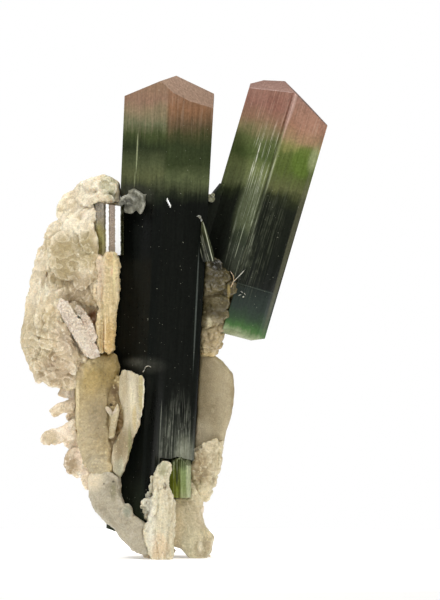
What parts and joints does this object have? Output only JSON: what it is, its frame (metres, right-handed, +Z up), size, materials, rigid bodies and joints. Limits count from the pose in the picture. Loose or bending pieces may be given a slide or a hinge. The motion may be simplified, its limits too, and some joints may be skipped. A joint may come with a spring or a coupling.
{
  "type": "tourmaline crystal specimen",
  "caption": "Natural crystal group: tall striated tourmaline prisms, pink at the tip and green to black below, rising from platy white feldspar cut off flat to stand.",
  "frame": {"origin": "middle of the bounding box, on the flat cut that it stands on", "axes": "+Z up along the tall prism, +X to the right and -Y to the front, seen from the display side"},
  "size_m": [0.0612, 0.0292, 0.0961],
  "materials": {
    "zoned_tourmaline": "glassy striated crystal, pink at the tip, green, then black-green",
    "clear_tourmaline": "clear glassy crystal, mauve above and olive below",
    "green_tourmaline": "glassy striated crystal, olive to blue-green",
    "grey_albite": "grey, slightly glassy, see-through at the edge",
    "pale_cleavelandite": "pearly cleavage plate, cream with a yellow rim",
    "sugary_cleavelandite": "fine-grained pale cream, slightly sparkling",
    "yellow_cleavelandite": "olive-yellow to cream, waxy",
    "tan_cleavelandite": "smooth tan cleavage plate",
    "brown_albite": "greasy brown, iron stained",
    "rough_cleavelandite": "matt overlapping plates"
  },
  "bodies": {
    "root": {"main_tourmaline": "zoned_tourmaline", "leaning_tourmaline": "zoned_tourmaline", "sliver_tourmaline": "zoned_tourmaline", "clear_tourmaline": "clear_tourmaline", "green_tourmaline": "green_tourmaline", "albite_crystal": "grey_albite", "inner_blade": "pale_cleavelandite", "pale_plate": "pale_cleavelandite", "finger_blades": "pale_cleavelandite", "front_blade": "sugary_cleavelandite", "left_rosette": "sugary_cleavelandite", "side_blades": "sugary_cleavelandite", "lower_plate": "sugary_cleavelandite", "broad_plate": "yellow_cleavelandite", "upright_blade": "yellow_cleavelandite", "right_plate": "tan_cleavelandite", "right_foot": "tan_cleavelandite", "brown_lump": "brown_albite", "cleavelandite_base": "rough_cleavelandite"}
  },
  "joints": []
}
